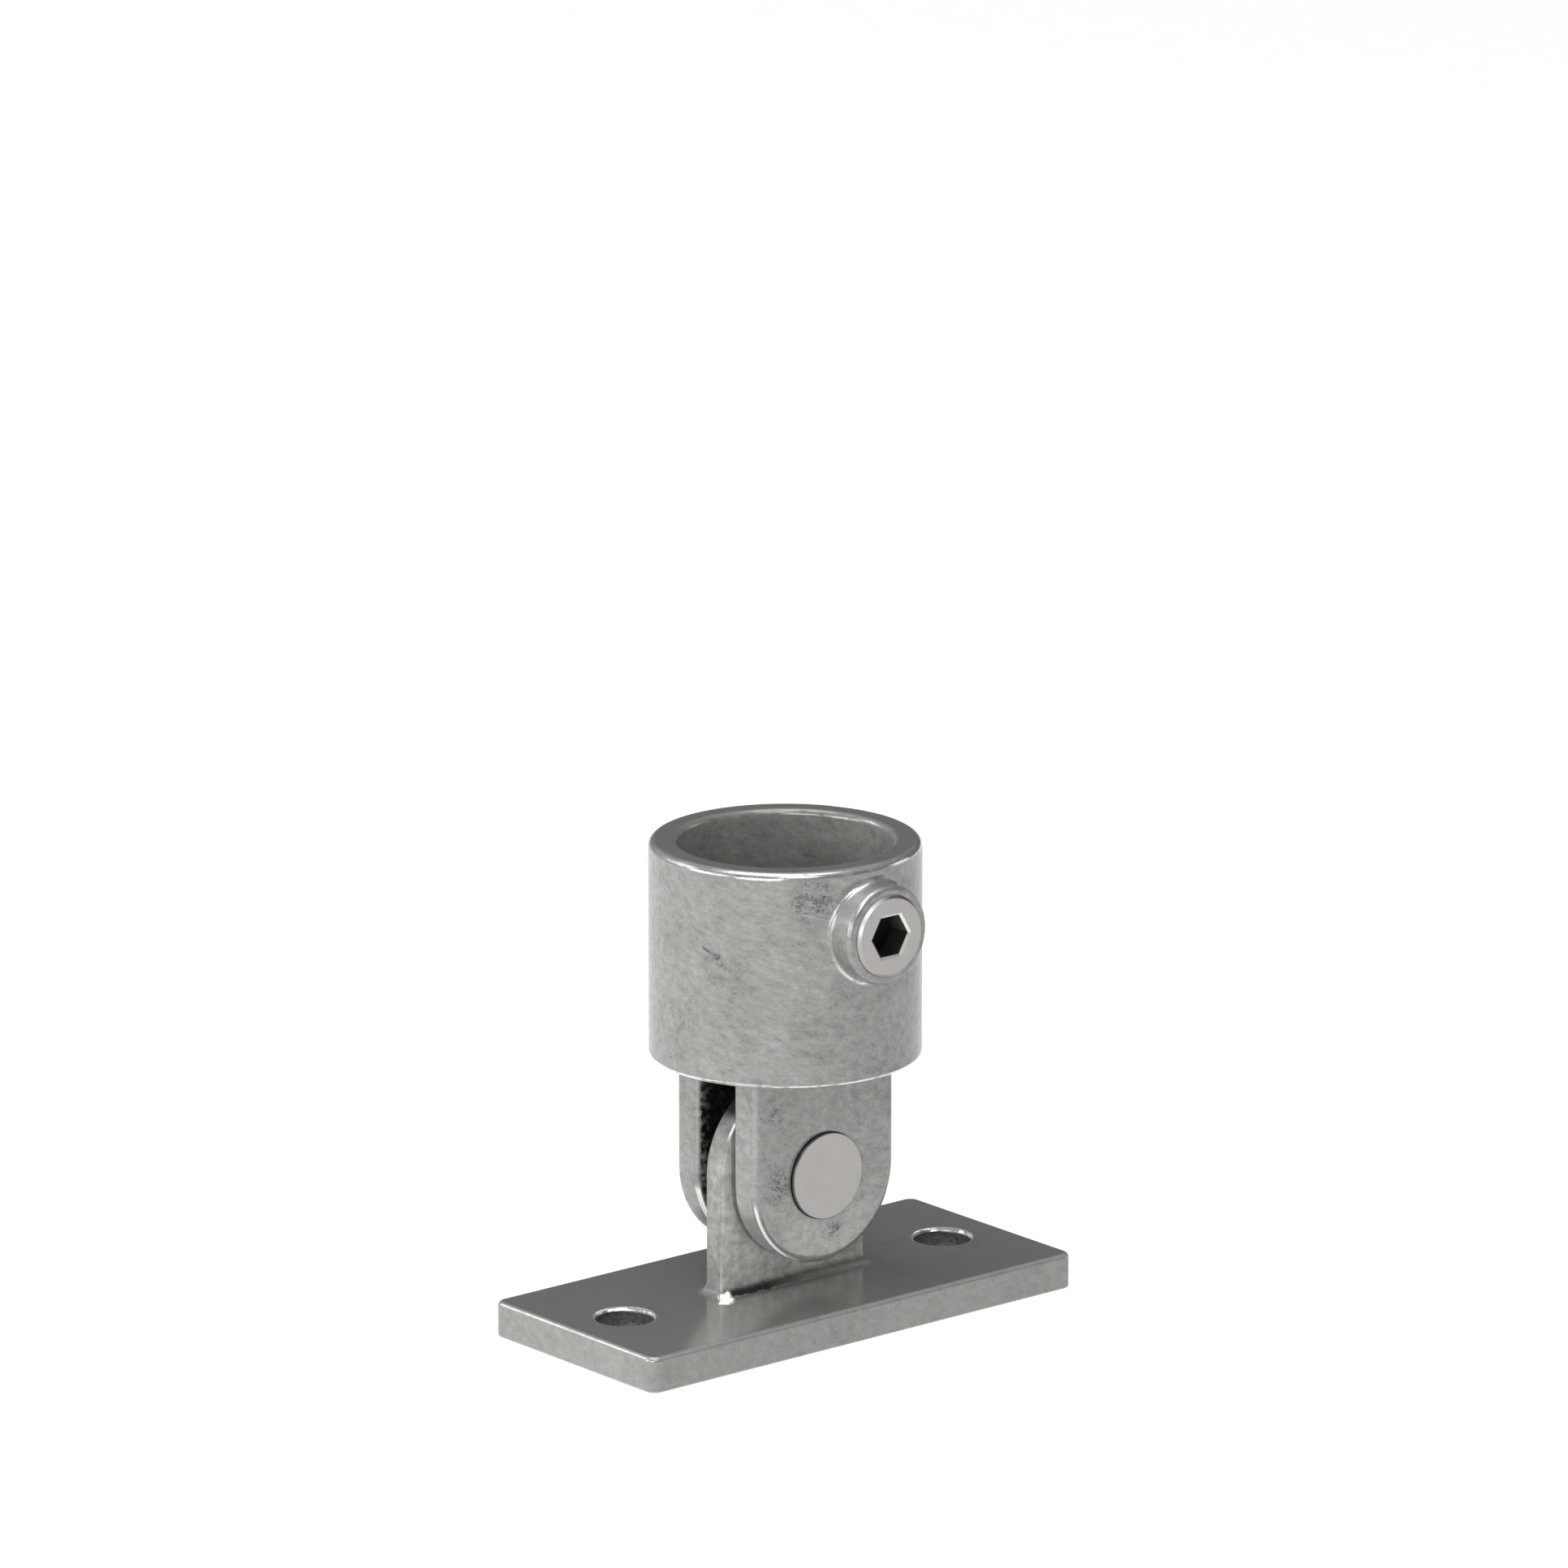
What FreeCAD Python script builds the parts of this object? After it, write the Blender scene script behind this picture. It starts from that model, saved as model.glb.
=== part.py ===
import FreeCAD, Part
import math
import os
import Sketcher

# Swivelling base flange for a round tube.
# A bolted base plate carries an upright lug. A forked socket straddles the lug and turns on
# a hinge pin. The socket takes the end of a tube, and a set screw in a side boss grips it.
#
# Frame: +Z up, +X along the plate, the hinge pin along Y, the set screw on the -Y side.
# The origin is the centre of the plate's underside. Lengths are millimetres.

# Driving sizes: each can be set by itself
SIZES = {
    # base plate
    "plate_length": 111.6,
    "plate_width": 51.2,
    "plate_thickness": 7.4,
    "plate_corner_round": 2.5,
    "plate_top_round": 1.0,
    "plate_bottom_round": 0.5,
    "bolt_spacing": 84.4,
    "bolt_hole_diameter": 12.0,
    "bolt_hole_round": 0.7,
    # upright lug, cast with the plate
    "pin_height": 31.9,
    "lug_width": 38.0,
    "lug_thickness": 5.0,
    "lug_edge_round": 0.7,
    "lug_foot_round": 2.5,
    # hinge pin
    "pin_diameter": 18.0,
    "pin_running_clearance": 0.05,
    "pin_seat_clearance": 0.01,
    "pin_stand_out": 1.0,
    "pin_end_chamfer": 0.15,
    "pin_hole_chamfer": 0.15,
    # fork ears
    "ear_width": 36.9,
    "ear_thickness": 7.25,
    "ear_side_clearance": 2.85,
    "ear_edge_round": 1.6,
    "ear_root_round": 1.5,
    # tube socket
    "tube_diameter": 42.4,
    "tube_clearance": 0.8,
    "socket_wall": 5.7,
    "socket_drop": 23.25,
    "socket_length": 44.95,
    "socket_floor": 7.25,
    "socket_rim_round": 1.5,
    "socket_mouth_round": 1.2,
    "socket_base_round": 1.0,
    "socket_floor_round": 2.0,
    # screw boss
    "boss_diameter": 20.4,
    "boss_height": 4.5,
    "boss_edge_round": 1.0,
    "boss_foot_round": 1.4,
    "boss_mouth_chamfer": 0.1,
    # set screw
    "screw_diameter": 16.66,
    "screw_running_clearance": 0.05,
    "screw_length": 11.0,
    "screw_drop": 13.6,
    "screw_tip_gap": 0.05,
    "screw_face_chamfer": 0.5,
    "screw_point_chamfer": 1.3,
    "cup_diameter": 11.0,
    "cup_depth": 2.2,
    "key_width": 8.2,
    "key_depth": 5.5,
    "key_mouth_chamfer": 0.45,
    "key_drill_depth": 1.4,
}

# Sizes that follow from the driving ones, as formulas of the second sheet
DERIVED = {
    "lug_root": "Sizes.plate_thickness / 2",
    "lug_radius": "Sizes.lug_width / 2",
    "lug_hole_diameter": "Sizes.pin_diameter + 2 * Sizes.pin_running_clearance",
    "ear_radius": "Sizes.ear_width / 2",
    "ear_hole_diameter": "Sizes.pin_diameter + 2 * Sizes.pin_seat_clearance",
    "ear_inner": "Sizes.lug_thickness / 2 + Sizes.ear_side_clearance",
    "ear_outer": "ear_inner + Sizes.ear_thickness",
    "pin_length": "2 * (ear_outer + Sizes.pin_stand_out)",
    "bore_radius": "Sizes.tube_diameter / 2 + Sizes.tube_clearance",
    "socket_radius": "bore_radius + Sizes.socket_wall",
    "socket_bottom": "Sizes.pin_height + Sizes.socket_drop",
    "socket_top": "socket_bottom + Sizes.socket_length",
    "bore_bottom": "socket_bottom + Sizes.socket_floor",
    "ear_top": "socket_bottom + Sizes.socket_floor / 2",
    "boss_face": "socket_radius + Sizes.boss_height",
    "boss_depth": "Sizes.boss_height + Sizes.socket_wall * 3 / 4",
    "screw_height": "socket_top - Sizes.screw_drop",
    "screw_hole_diameter": "Sizes.screw_diameter + 2 * Sizes.screw_running_clearance",
    "screw_tip": "bore_radius + Sizes.screw_tip_gap",
    "cup_radius": "Sizes.cup_diameter / 2",
    "key_corner_radius": "Sizes.key_width / 2 / cos(30 deg)",
    "key_bottom": "Sizes.screw_length - Sizes.key_depth",
    "key_drill_radius": "Sizes.key_width / 2",
    "key_drill_bottom": "key_bottom - Sizes.key_drill_depth",
}

NEAR = 1e-4

doc = FreeCAD.newDocument("SwivelBaseFlange")


def make_sheet(name, rows):
    """A spreadsheet with one aliased cell for each size."""
    sheet = doc.addObject("Spreadsheet::Sheet", name)
    for row, (alias, content) in enumerate(rows.items(), start=1):
        sheet.set("A%d" % row, alias.replace("_", " "))
        sheet.set("B%d" % row, content)
        sheet.setAlias("B%d" % row, alias)
    doc.recompute()
    return sheet


size_sheet = make_sheet("Sizes", {alias: str(number) for alias, number in SIZES.items()})
derived_sheet = make_sheet("Derived", {alias: "=" + formula for alias, formula in DERIVED.items()})


def value(reference):
    """The number behind a reference such as Sizes.plate_length."""
    sheet_name, alias = reference.split(".")
    cell = doc.getObject(sheet_name).get(alias)
    return float(getattr(cell, "Value", cell))


def make_body(label):
    body = doc.addObject("PartDesign::Body", label)
    body.Label = label
    return body


def sketch_on(body, plane, name, offset=None):
    """A sketch on one of the body's own origin planes, moved along its normal by offset."""
    sketch = body.newObject("Sketcher::SketchObject", name)
    support = [item for item in body.Origin.OriginFeatures if item.Role == plane][0]
    sketch.AttachmentSupport = [(support, "")]
    sketch.MapMode = "FlatFace"
    if offset:
        sketch.setExpression("AttachmentOffset.Base.z", offset)
    return sketch


def dimension(sketch, name, constraint, reference):
    """Adds a named dimension that follows a cell of a sheet."""
    index = sketch.addConstraint(constraint)
    sketch.renameConstraint(index, name)
    sketch.setExpression("Constraints." + name, reference)


def line(sketch, start, end):
    first = FreeCAD.Vector(start[0], start[1], 0)
    last = FreeCAD.Vector(end[0], end[1], 0)
    return sketch.addGeometry(Part.LineSegment(first, last), False)


def join(sketch, first, second):
    """Joins the end of one line to the start of the next."""
    sketch.addConstraint(Sketcher.Constraint("Coincident", first, 2, second, 1))


def draw_rectangle(sketch, width, height):
    """A rectangle centred on the sketch's origin."""
    x = value(width) / 2
    y = value(height) / 2
    corners = [(-x, -y), (x, -y), (x, y), (-x, y)]
    sides = [line(sketch, corners[i], corners[(i + 1) % 4]) for i in range(4)]
    for i in range(4):
        join(sketch, sides[i], sides[(i + 1) % 4])
        direction = "Horizontal" if i % 2 == 0 else "Vertical"
        sketch.addConstraint(Sketcher.Constraint(direction, sides[i]))
    sketch.addConstraint(Sketcher.Constraint("Symmetric", sides[0], 1, sides[2], 1, -1, 1))
    dimension(sketch, "width", Sketcher.Constraint("DistanceX", sides[0], 1, sides[0], 2, 2 * x), width)
    dimension(sketch, "height", Sketcher.Constraint("DistanceY", sides[1], 1, sides[1], 2, 2 * y), height)


def draw_circle(sketch, diameter, height=None):
    """A circle on the sketch's vertical axis, at the origin or at a height above it."""
    level = value(height) if height else 0
    centre = FreeCAD.Vector(0, level, 0)
    shape = Part.Circle(centre, FreeCAD.Vector(0, 0, 1), value(diameter) / 2)
    circle = sketch.addGeometry(shape, False)
    if height:
        sketch.addConstraint(Sketcher.Constraint("PointOnObject", circle, 3, -2))
        dimension(sketch, "level", Sketcher.Constraint("DistanceY", -1, 1, circle, 3, level), height)
    else:
        sketch.addConstraint(Sketcher.Constraint("Coincident", circle, 3, -1, 1))
    dimension(sketch, "diameter", Sketcher.Constraint("Diameter", circle, value(diameter)), diameter)


def draw_tongue(sketch, radius, centre_height, end_height):
    """A straight-sided tongue whose round end is centred on the hinge axis.

    The round end points away from end_height, where the tongue is cut square."""
    r = value(radius)
    centre = value(centre_height)
    end = value(end_height)
    hanging = end > centre
    first_angle = math.pi if hanging else 0
    circle = Part.Circle(FreeCAD.Vector(0, centre, 0), FreeCAD.Vector(0, 0, 1), r)
    arc = sketch.addGeometry(Part.ArcOfCircle(circle, first_angle, first_angle + math.pi), False)
    side = -1 if hanging else 1
    away = line(sketch, (-side * r, centre), (-side * r, end))
    square = line(sketch, (-side * r, end), (side * r, end))
    back = line(sketch, (side * r, end), (side * r, centre))
    sketch.addConstraint(Sketcher.Constraint("Tangent", arc, 2, away, 1))
    join(sketch, away, square)
    join(sketch, square, back)
    sketch.addConstraint(Sketcher.Constraint("Tangent", back, 2, arc, 1))
    sketch.addConstraint(Sketcher.Constraint("Vertical", away))
    sketch.addConstraint(Sketcher.Constraint("Horizontal", square))
    sketch.addConstraint(Sketcher.Constraint("Vertical", back))
    sketch.addConstraint(Sketcher.Constraint("PointOnObject", arc, 3, -2))
    dimension(sketch, "axis_height", Sketcher.Constraint("DistanceY", -1, 1, arc, 3, centre), centre_height)
    dimension(sketch, "radius", Sketcher.Constraint("Radius", arc, r), radius)
    dimension(sketch, "end_height", Sketcher.Constraint("DistanceY", -1, 1, square, 1, end), end_height)


def draw_half_section(sketch, points):
    """A closed half section: points are (radius, level) pairs of references, None for zero.

    The first and last points lie on the axis of revolution."""
    numbers = [tuple(value(item) if item else 0.0 for item in point) for point in points]
    count = len(points)
    sides = [line(sketch, numbers[i], numbers[(i + 1) % count]) for i in range(count)]
    for i in range(count):
        join(sketch, sides[i], sides[(i + 1) % count])
    for i, (radius, level) in enumerate(points):
        if radius:
            x = Sketcher.Constraint("DistanceX", -1, 1, sides[i], 1, numbers[i][0])
            dimension(sketch, "radius_%d" % i, x, radius)
        else:
            sketch.addConstraint(Sketcher.Constraint("PointOnObject", sides[i], 1, -2))
        if level:
            y = Sketcher.Constraint("DistanceY", -1, 1, sides[i], 1, numbers[i][1])
            dimension(sketch, "level_%d" % i, y, level)
        else:
            sketch.addConstraint(Sketcher.Constraint("PointOnObject", sides[i], 1, -1))


def draw_hexagon(sketch, corner_radius):
    """A regular hexagon about the origin with two corners on the horizontal axis."""
    r = value(corner_radius)
    centre = FreeCAD.Vector(0, 0, 0)
    guide = sketch.addGeometry(Part.Circle(centre, FreeCAD.Vector(0, 0, 1), r), True)
    sketch.addConstraint(Sketcher.Constraint("Coincident", guide, 3, -1, 1))
    angles = [math.radians(60 * i) for i in range(6)]
    corners = [(r * math.cos(angle), r * math.sin(angle)) for angle in angles]
    sides = [line(sketch, corners[i], corners[(i + 1) % 6]) for i in range(6)]
    for i in range(6):
        join(sketch, sides[i], sides[(i + 1) % 6])
        sketch.addConstraint(Sketcher.Constraint("PointOnObject", sides[i], 1, guide))
    for side in sides[1:]:
        sketch.addConstraint(Sketcher.Constraint("Equal", sides[0], side))
    sketch.addConstraint(Sketcher.Constraint("PointOnObject", sides[0], 1, -1))
    dimension(sketch, "corner_radius", Sketcher.Constraint("Radius", guide, r), corner_radius)


def pad(body, sketch, name, length, symmetric=False, backwards=False):
    feature = body.newObject("PartDesign::Pad", name)
    feature.Profile = sketch
    feature.SideType = "Symmetric" if symmetric else "One side"
    feature.Reversed = backwards
    feature.setExpression("Length", length)
    doc.recompute()
    return feature


def pocket(body, sketch, name, length=None, symmetric=False, backwards=False):
    """A pocket of the given depth, or right through where no length is given."""
    before = body.Shape.Volume
    feature = body.newObject("PartDesign::Pocket", name)
    feature.Profile = sketch
    feature.SideType = "Symmetric" if symmetric else "One side"
    feature.Reversed = backwards
    if length:
        feature.setExpression("Length", length)
    else:
        feature.Type = "ThroughAll"
    doc.recompute()
    if body.Shape.Volume >= before:
        raise RuntimeError(name + " cuts nothing")
    return feature


def revolve(body, sketch, name):
    """A full turn of the sketch about its own vertical axis."""
    feature = body.newObject("PartDesign::Revolution", name)
    feature.Profile = sketch
    feature.ReferenceAxis = (sketch, ["V_Axis"])
    feature.Angle = 360
    doc.recompute()
    return feature


def groove(body, sketch, name):
    """Cuts a full turn of the sketch about its own vertical axis."""
    before = body.Shape.Volume
    feature = body.newObject("PartDesign::Groove", name)
    feature.Profile = sketch
    feature.ReferenceAxis = (sketch, ["V_Axis"])
    feature.Angle = 360
    doc.recompute()
    if body.Shape.Volume >= before:
        raise RuntimeError(name + " cuts nothing")
    return feature


def dress(body, kind, name, size, keep):
    """Rounds or chamfers every edge of the body's last feature that keep() picks."""
    base = body.Tip
    names = ["Edge%d" % (i + 1) for i, edge in enumerate(base.Shape.Edges) if keep(edge)]
    if not names:
        raise RuntimeError(name + " finds no edge")
    feature = body.newObject("PartDesign::" + kind, name)
    feature.Base = (base, names)
    feature.setExpression("Radius" if kind == "Fillet" else "Size", size)
    doc.recompute()
    return feature


def lies_at(edge, axis, level):
    """True where the whole edge lies in the plane axis = level."""
    points = [vertex.Point for vertex in edge.Vertexes]
    points.append(edge.valueAt((edge.FirstParameter + edge.LastParameter) / 2))
    return all(abs(getattr(point, axis) - level) < NEAR for point in points)


def is_circle(edge, radius):
    return edge.Curve.TypeId == "Part::GeomCircle" and abs(edge.Curve.Radius - radius) < NEAR


def is_upright(edge):
    return edge.Curve.TypeId == "Part::GeomLine" and abs(abs(edge.Curve.Direction.z) - 1) < NEAR


# Base plate with its lug: one casting
def make_base_plate():
    body = make_body("base_plate")
    top = value("Sizes.plate_thickness")
    lug_face = value("Sizes.lug_thickness") / 2
    lug_radius = value("Derived.lug_radius")
    pin_hole = value("Derived.lug_hole_diameter") / 2
    bolt_hole = value("Sizes.bolt_hole_diameter") / 2

    outline = sketch_on(body, "XY_Plane", "plate_outline")
    draw_rectangle(outline, "Sizes.plate_length", "Sizes.plate_width")
    pad(body, outline, "plate", "Sizes.plate_thickness")
    dress(body, "Fillet", "plate_corners", "Sizes.plate_corner_round", is_upright)
    dress(body, "Fillet", "plate_top_edge", "Sizes.plate_top_round", lambda e: lies_at(e, "z", top))
    dress(body, "Fillet", "plate_bottom_edge", "Sizes.plate_bottom_round", lambda e: lies_at(e, "z", 0))

    lug_outline = sketch_on(body, "XZ_Plane", "lug_outline")
    draw_tongue(lug_outline, "Derived.lug_radius", "Sizes.pin_height", "Derived.lug_root")
    pad(body, lug_outline, "lug", "Sizes.lug_thickness", symmetric=True)

    def lug_outer_edge(edge):
        return lies_at(edge, "y", lug_face) or lies_at(edge, "y", -lug_face)

    def above_plate(edge):
        return edge.CenterOfMass.z > top + NEAR

    dress(body, "Fillet", "lug_edges", "Sizes.lug_edge_round",
          lambda e: lug_outer_edge(e) and above_plate(e))

    def lug_foot(edge):
        centre = edge.CenterOfMass
        inside = abs(centre.x) < lug_radius + NEAR and abs(centre.y) < lug_face + NEAR
        return inside and lies_at(edge, "z", top)

    dress(body, "Fillet", "lug_foot", "Sizes.lug_foot_round", lug_foot)

    holes = sketch_on(body, "XY_Plane", "bolt_hole_centres")
    reach = value("Sizes.bolt_spacing") / 2
    circles = []
    for x in (-reach, reach):
        shape = Part.Circle(FreeCAD.Vector(x, 0, 0), FreeCAD.Vector(0, 0, 1), bolt_hole)
        circles.append(holes.addGeometry(shape, False))
    left, right = circles
    holes.addConstraint(Sketcher.Constraint("PointOnObject", left, 3, -1))
    holes.addConstraint(Sketcher.Constraint("Symmetric", left, 3, right, 3, -1, 1))
    holes.addConstraint(Sketcher.Constraint("Equal", left, right))
    dimension(holes, "spacing", Sketcher.Constraint("DistanceX", left, 3, right, 3, 2 * reach),
              "Sizes.bolt_spacing")
    dimension(holes, "diameter", Sketcher.Constraint("Diameter", left, 2 * bolt_hole),
              "Sizes.bolt_hole_diameter")
    pocket(body, holes, "bolt_holes", backwards=True)
    dress(body, "Fillet", "bolt_hole_rims", "Sizes.bolt_hole_round",
          lambda e: is_circle(e, bolt_hole) and lies_at(e, "z", top))

    eye = sketch_on(body, "XZ_Plane", "lug_eye")
    draw_circle(eye, "Derived.lug_hole_diameter", "Sizes.pin_height")
    pocket(body, eye, "lug_hole", symmetric=True)
    dress(body, "Chamfer", "lug_hole_rims", "Sizes.pin_hole_chamfer", lambda e: is_circle(e, pin_hole))
    return body


# Forked socket: one casting with two ears below, a tube bore above and a side boss
def make_fork_socket():
    body = make_body("fork_socket")
    bottom = value("Derived.socket_bottom")
    top = value("Derived.socket_top")
    bore_bottom = value("Derived.bore_bottom")
    outer = value("Derived.socket_radius")
    bore = value("Derived.bore_radius")
    ear_inner = value("Derived.ear_inner")
    ear_outer = value("Derived.ear_outer")
    ear_hole = value("Derived.ear_hole_diameter") / 2
    boss_face = value("Derived.boss_face")
    boss_radius = value("Sizes.boss_diameter") / 2
    screw_hole = value("Derived.screw_hole_diameter") / 2

    section = sketch_on(body, "XZ_Plane", "socket_section")
    draw_half_section(section, [
        (None, "Derived.socket_bottom"),
        ("Derived.socket_radius", "Derived.socket_bottom"),
        ("Derived.socket_radius", "Derived.socket_top"),
        ("Derived.bore_radius", "Derived.socket_top"),
        ("Derived.bore_radius", "Derived.bore_bottom"),
        (None, "Derived.bore_bottom"),
    ])
    revolve(body, section, "socket")
    dress(body, "Fillet", "socket_rim", "Sizes.socket_rim_round",
          lambda e: is_circle(e, outer) and lies_at(e, "z", top))
    dress(body, "Fillet", "socket_mouth", "Sizes.socket_mouth_round",
          lambda e: is_circle(e, bore) and lies_at(e, "z", top))
    dress(body, "Fillet", "socket_base", "Sizes.socket_base_round",
          lambda e: is_circle(e, outer) and lies_at(e, "z", bottom))
    dress(body, "Fillet", "bore_floor", "Sizes.socket_floor_round",
          lambda e: is_circle(e, bore) and lies_at(e, "z", bore_bottom))

    ear_outline = sketch_on(body, "XZ_Plane", "ear_outline", "Derived.ear_inner")
    draw_tongue(ear_outline, "Derived.ear_radius", "Sizes.pin_height", "Derived.ear_top")
    ear = pad(body, ear_outline, "front_ear", "Sizes.ear_thickness")
    mirrored = body.newObject("PartDesign::Mirrored", "rear_ear")
    mirrored.Originals = [ear]
    mirrored.MirrorPlane = ([item for item in body.Origin.OriginFeatures if item.Role == "XZ_Plane"][0], [""])
    body.Tip = mirrored
    doc.recompute()

    def ear_edge(edge):
        on_face = any(lies_at(edge, "y", side * face) for side in (-1, 1) for face in (ear_inner, ear_outer))
        return on_face and edge.CenterOfMass.z < bottom - NEAR

    dress(body, "Fillet", "ear_edges", "Sizes.ear_edge_round", ear_edge)

    def ear_root(edge):
        centre = edge.CenterOfMass
        inside = abs(centre.x) < bore + NEAR and abs(centre.y) < ear_outer + NEAR
        return inside and lies_at(edge, "z", bottom)

    dress(body, "Fillet", "ear_roots", "Sizes.ear_root_round", ear_root)

    eyes = sketch_on(body, "XZ_Plane", "ear_eyes")
    draw_circle(eyes, "Derived.ear_hole_diameter", "Sizes.pin_height")
    pocket(body, eyes, "ear_holes", symmetric=True)
    dress(body, "Chamfer", "ear_hole_rims", "Sizes.pin_hole_chamfer", lambda e: is_circle(e, ear_hole))

    boss_outline = sketch_on(body, "XZ_Plane", "boss_outline", "Derived.boss_face")
    draw_circle(boss_outline, "Sizes.boss_diameter", "Derived.screw_height")
    pad(body, boss_outline, "boss", "Derived.boss_depth", backwards=True)

    def boss_foot(edge):
        box = edge.BoundBox
        curved = edge.Curve.TypeId not in ("Part::GeomLine", "Part::GeomCircle")
        near_boss = box.YMax < -bore and box.ZMin > bore_bottom and box.XLength > boss_radius / 2
        return curved and near_boss

    dress(body, "Fillet", "boss_foot", "Sizes.boss_foot_round", boss_foot)
    dress(body, "Fillet", "boss_edge", "Sizes.boss_edge_round",
          lambda e: is_circle(e, boss_radius) and lies_at(e, "y", -boss_face))

    screw_hole_outline = sketch_on(body, "XZ_Plane", "screw_hole_outline", "Derived.boss_face")
    draw_circle(screw_hole_outline, "Derived.screw_hole_diameter", "Derived.screw_height")
    pocket(body, screw_hole_outline, "screw_hole", length="Derived.boss_face")
    dress(body, "Chamfer", "screw_hole_mouth", "Sizes.boss_mouth_chamfer",
          lambda e: is_circle(e, screw_hole) and lies_at(e, "y", -boss_face))
    return body


# Hinge pin: a plain steel pin, pressed into the ears, on which the lug turns
def make_hinge_pin():
    body = make_body("hinge_pin")
    outline = sketch_on(body, "XZ_Plane", "pin_outline")
    draw_circle(outline, "Sizes.pin_diameter")
    pad(body, outline, "pin", "Derived.pin_length", symmetric=True)
    radius = value("Sizes.pin_diameter") / 2
    dress(body, "Chamfer", "pin_ends", "Sizes.pin_end_chamfer", lambda e: is_circle(e, radius))
    body.setExpression("Placement.Base.z", "Sizes.pin_height")
    return body


# Set screw: headless, with a hexagon key socket and a cup point
# Its own frame has the point at the origin and the key socket facing +Z.
def make_set_screw():
    body = make_body("set_screw")
    face = value("Sizes.screw_length")
    radius = value("Sizes.screw_diameter") / 2

    outline = sketch_on(body, "XY_Plane", "shank_outline")
    draw_circle(outline, "Sizes.screw_diameter")
    pad(body, outline, "shank", "Sizes.screw_length")
    dress(body, "Chamfer", "face_chamfer", "Sizes.screw_face_chamfer",
          lambda e: is_circle(e, radius) and lies_at(e, "z", face))
    dress(body, "Chamfer", "point_chamfer", "Sizes.screw_point_chamfer",
          lambda e: is_circle(e, radius) and lies_at(e, "z", 0))

    cup = sketch_on(body, "XZ_Plane", "cup_section")
    draw_half_section(cup, [
        (None, None),
        ("Derived.cup_radius", None),
        (None, "Sizes.cup_depth"),
    ])
    groove(body, cup, "cup_point")

    hexagon = sketch_on(body, "XY_Plane", "key_outline", "Sizes.screw_length")
    draw_hexagon(hexagon, "Derived.key_corner_radius")
    pocket(body, hexagon, "key_socket", length="Sizes.key_depth")

    def key_mouth(edge):
        return edge.Curve.TypeId == "Part::GeomLine" and lies_at(edge, "z", face)

    dress(body, "Chamfer", "key_mouth", "Sizes.key_mouth_chamfer", key_mouth)

    drill = sketch_on(body, "XZ_Plane", "key_drill_section")
    draw_half_section(drill, [
        (None, "Derived.key_bottom"),
        ("Derived.key_drill_radius", "Derived.key_bottom"),
        (None, "Derived.key_drill_bottom"),
    ])
    groove(body, drill, "key_drill_point")

    turn = FreeCAD.Rotation(FreeCAD.Vector(1, 0, 0), 90)
    body.Placement = FreeCAD.Placement(FreeCAD.Vector(0, 0, 0), turn)
    body.setExpression("Placement.Base.y", "-Derived.screw_tip")
    body.setExpression("Placement.Base.z", "Derived.screw_height")
    return body


def check(body):
    """Stops the build where a feature or the finished solid is not sound."""
    for item in body.Group + [body]:
        if "Invalid" in item.State or "Error" in item.State:
            raise RuntimeError("%s in %s does not build" % (item.Name, body.Label))
    shape = body.Shape
    if shape.isNull() or not shape.isValid() or len(shape.Solids) != 1:
        raise RuntimeError(body.Label + " is not one sound solid")


bodies = [make_base_plate(), make_fork_socket(), make_hinge_pin(), make_set_screw()]
doc.recompute()

os.makedirs("parts", exist_ok=True)
for body in bodies:
    check(body)
    body.Shape.exportStep("parts/%s.step" % body.Label)
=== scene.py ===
import math

import bmesh
import bpy
from mathutils import Matrix, Vector


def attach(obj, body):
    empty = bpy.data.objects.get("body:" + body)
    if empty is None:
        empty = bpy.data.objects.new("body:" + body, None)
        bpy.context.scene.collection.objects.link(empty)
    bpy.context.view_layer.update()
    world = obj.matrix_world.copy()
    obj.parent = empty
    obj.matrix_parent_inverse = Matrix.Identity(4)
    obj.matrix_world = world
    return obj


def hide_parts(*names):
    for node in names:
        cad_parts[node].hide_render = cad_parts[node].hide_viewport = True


# Swivelling base flange: galvanised castings, a plain steel pin and a threaded set screw.
# Everything is in metres. MM turns millimetres into metres.
MM = 0.001

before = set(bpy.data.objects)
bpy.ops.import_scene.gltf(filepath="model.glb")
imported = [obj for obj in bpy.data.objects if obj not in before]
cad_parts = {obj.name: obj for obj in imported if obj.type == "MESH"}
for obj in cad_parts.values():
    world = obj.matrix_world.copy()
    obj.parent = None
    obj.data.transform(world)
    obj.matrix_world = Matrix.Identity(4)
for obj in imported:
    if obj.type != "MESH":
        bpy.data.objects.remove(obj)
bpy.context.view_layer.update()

# Sizes of the solids that the looks follow, in millimetres
PLATE_HALF_LENGTH = 55.8
PLATE_HALF_WIDTH = 25.6
PLATE_TOP = 7.4
BOLT_OFFSET = 42.2
HOLE_RADIUS = 6.0
LUG_RADIUS = 19.0
LUG_HALF_THICKNESS = 2.5
PIN_HEIGHT = 31.9
EAR_RADIUS = 18.45
EAR_OUTER = 12.6
SOCKET_BOTTOM = 55.15
SOCKET_TOP = 100.1
SOCKET_RADIUS = 27.7
BOSS_RADIUS = 10.2
SCREW_HEIGHT = 86.5
SCREW_POINT = -22.05
SCREW_LENGTH = 11.0
SCREW_FACE = SCREW_POINT - SCREW_LENGTH

# The camera's line of sight, in the object's frame. Some painted highlights on the zinc are laid out along
# it.
SIGHT_RIGHT = (0.767, -0.641, 0.0)
SIGHT_UP = (0.166, 0.198, 0.966)
SIGHT_AHEAD = (0.620, 0.741, -0.259)
SIGHT_BACK_LEVEL = (-0.64, -0.77, 0.0)


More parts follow.
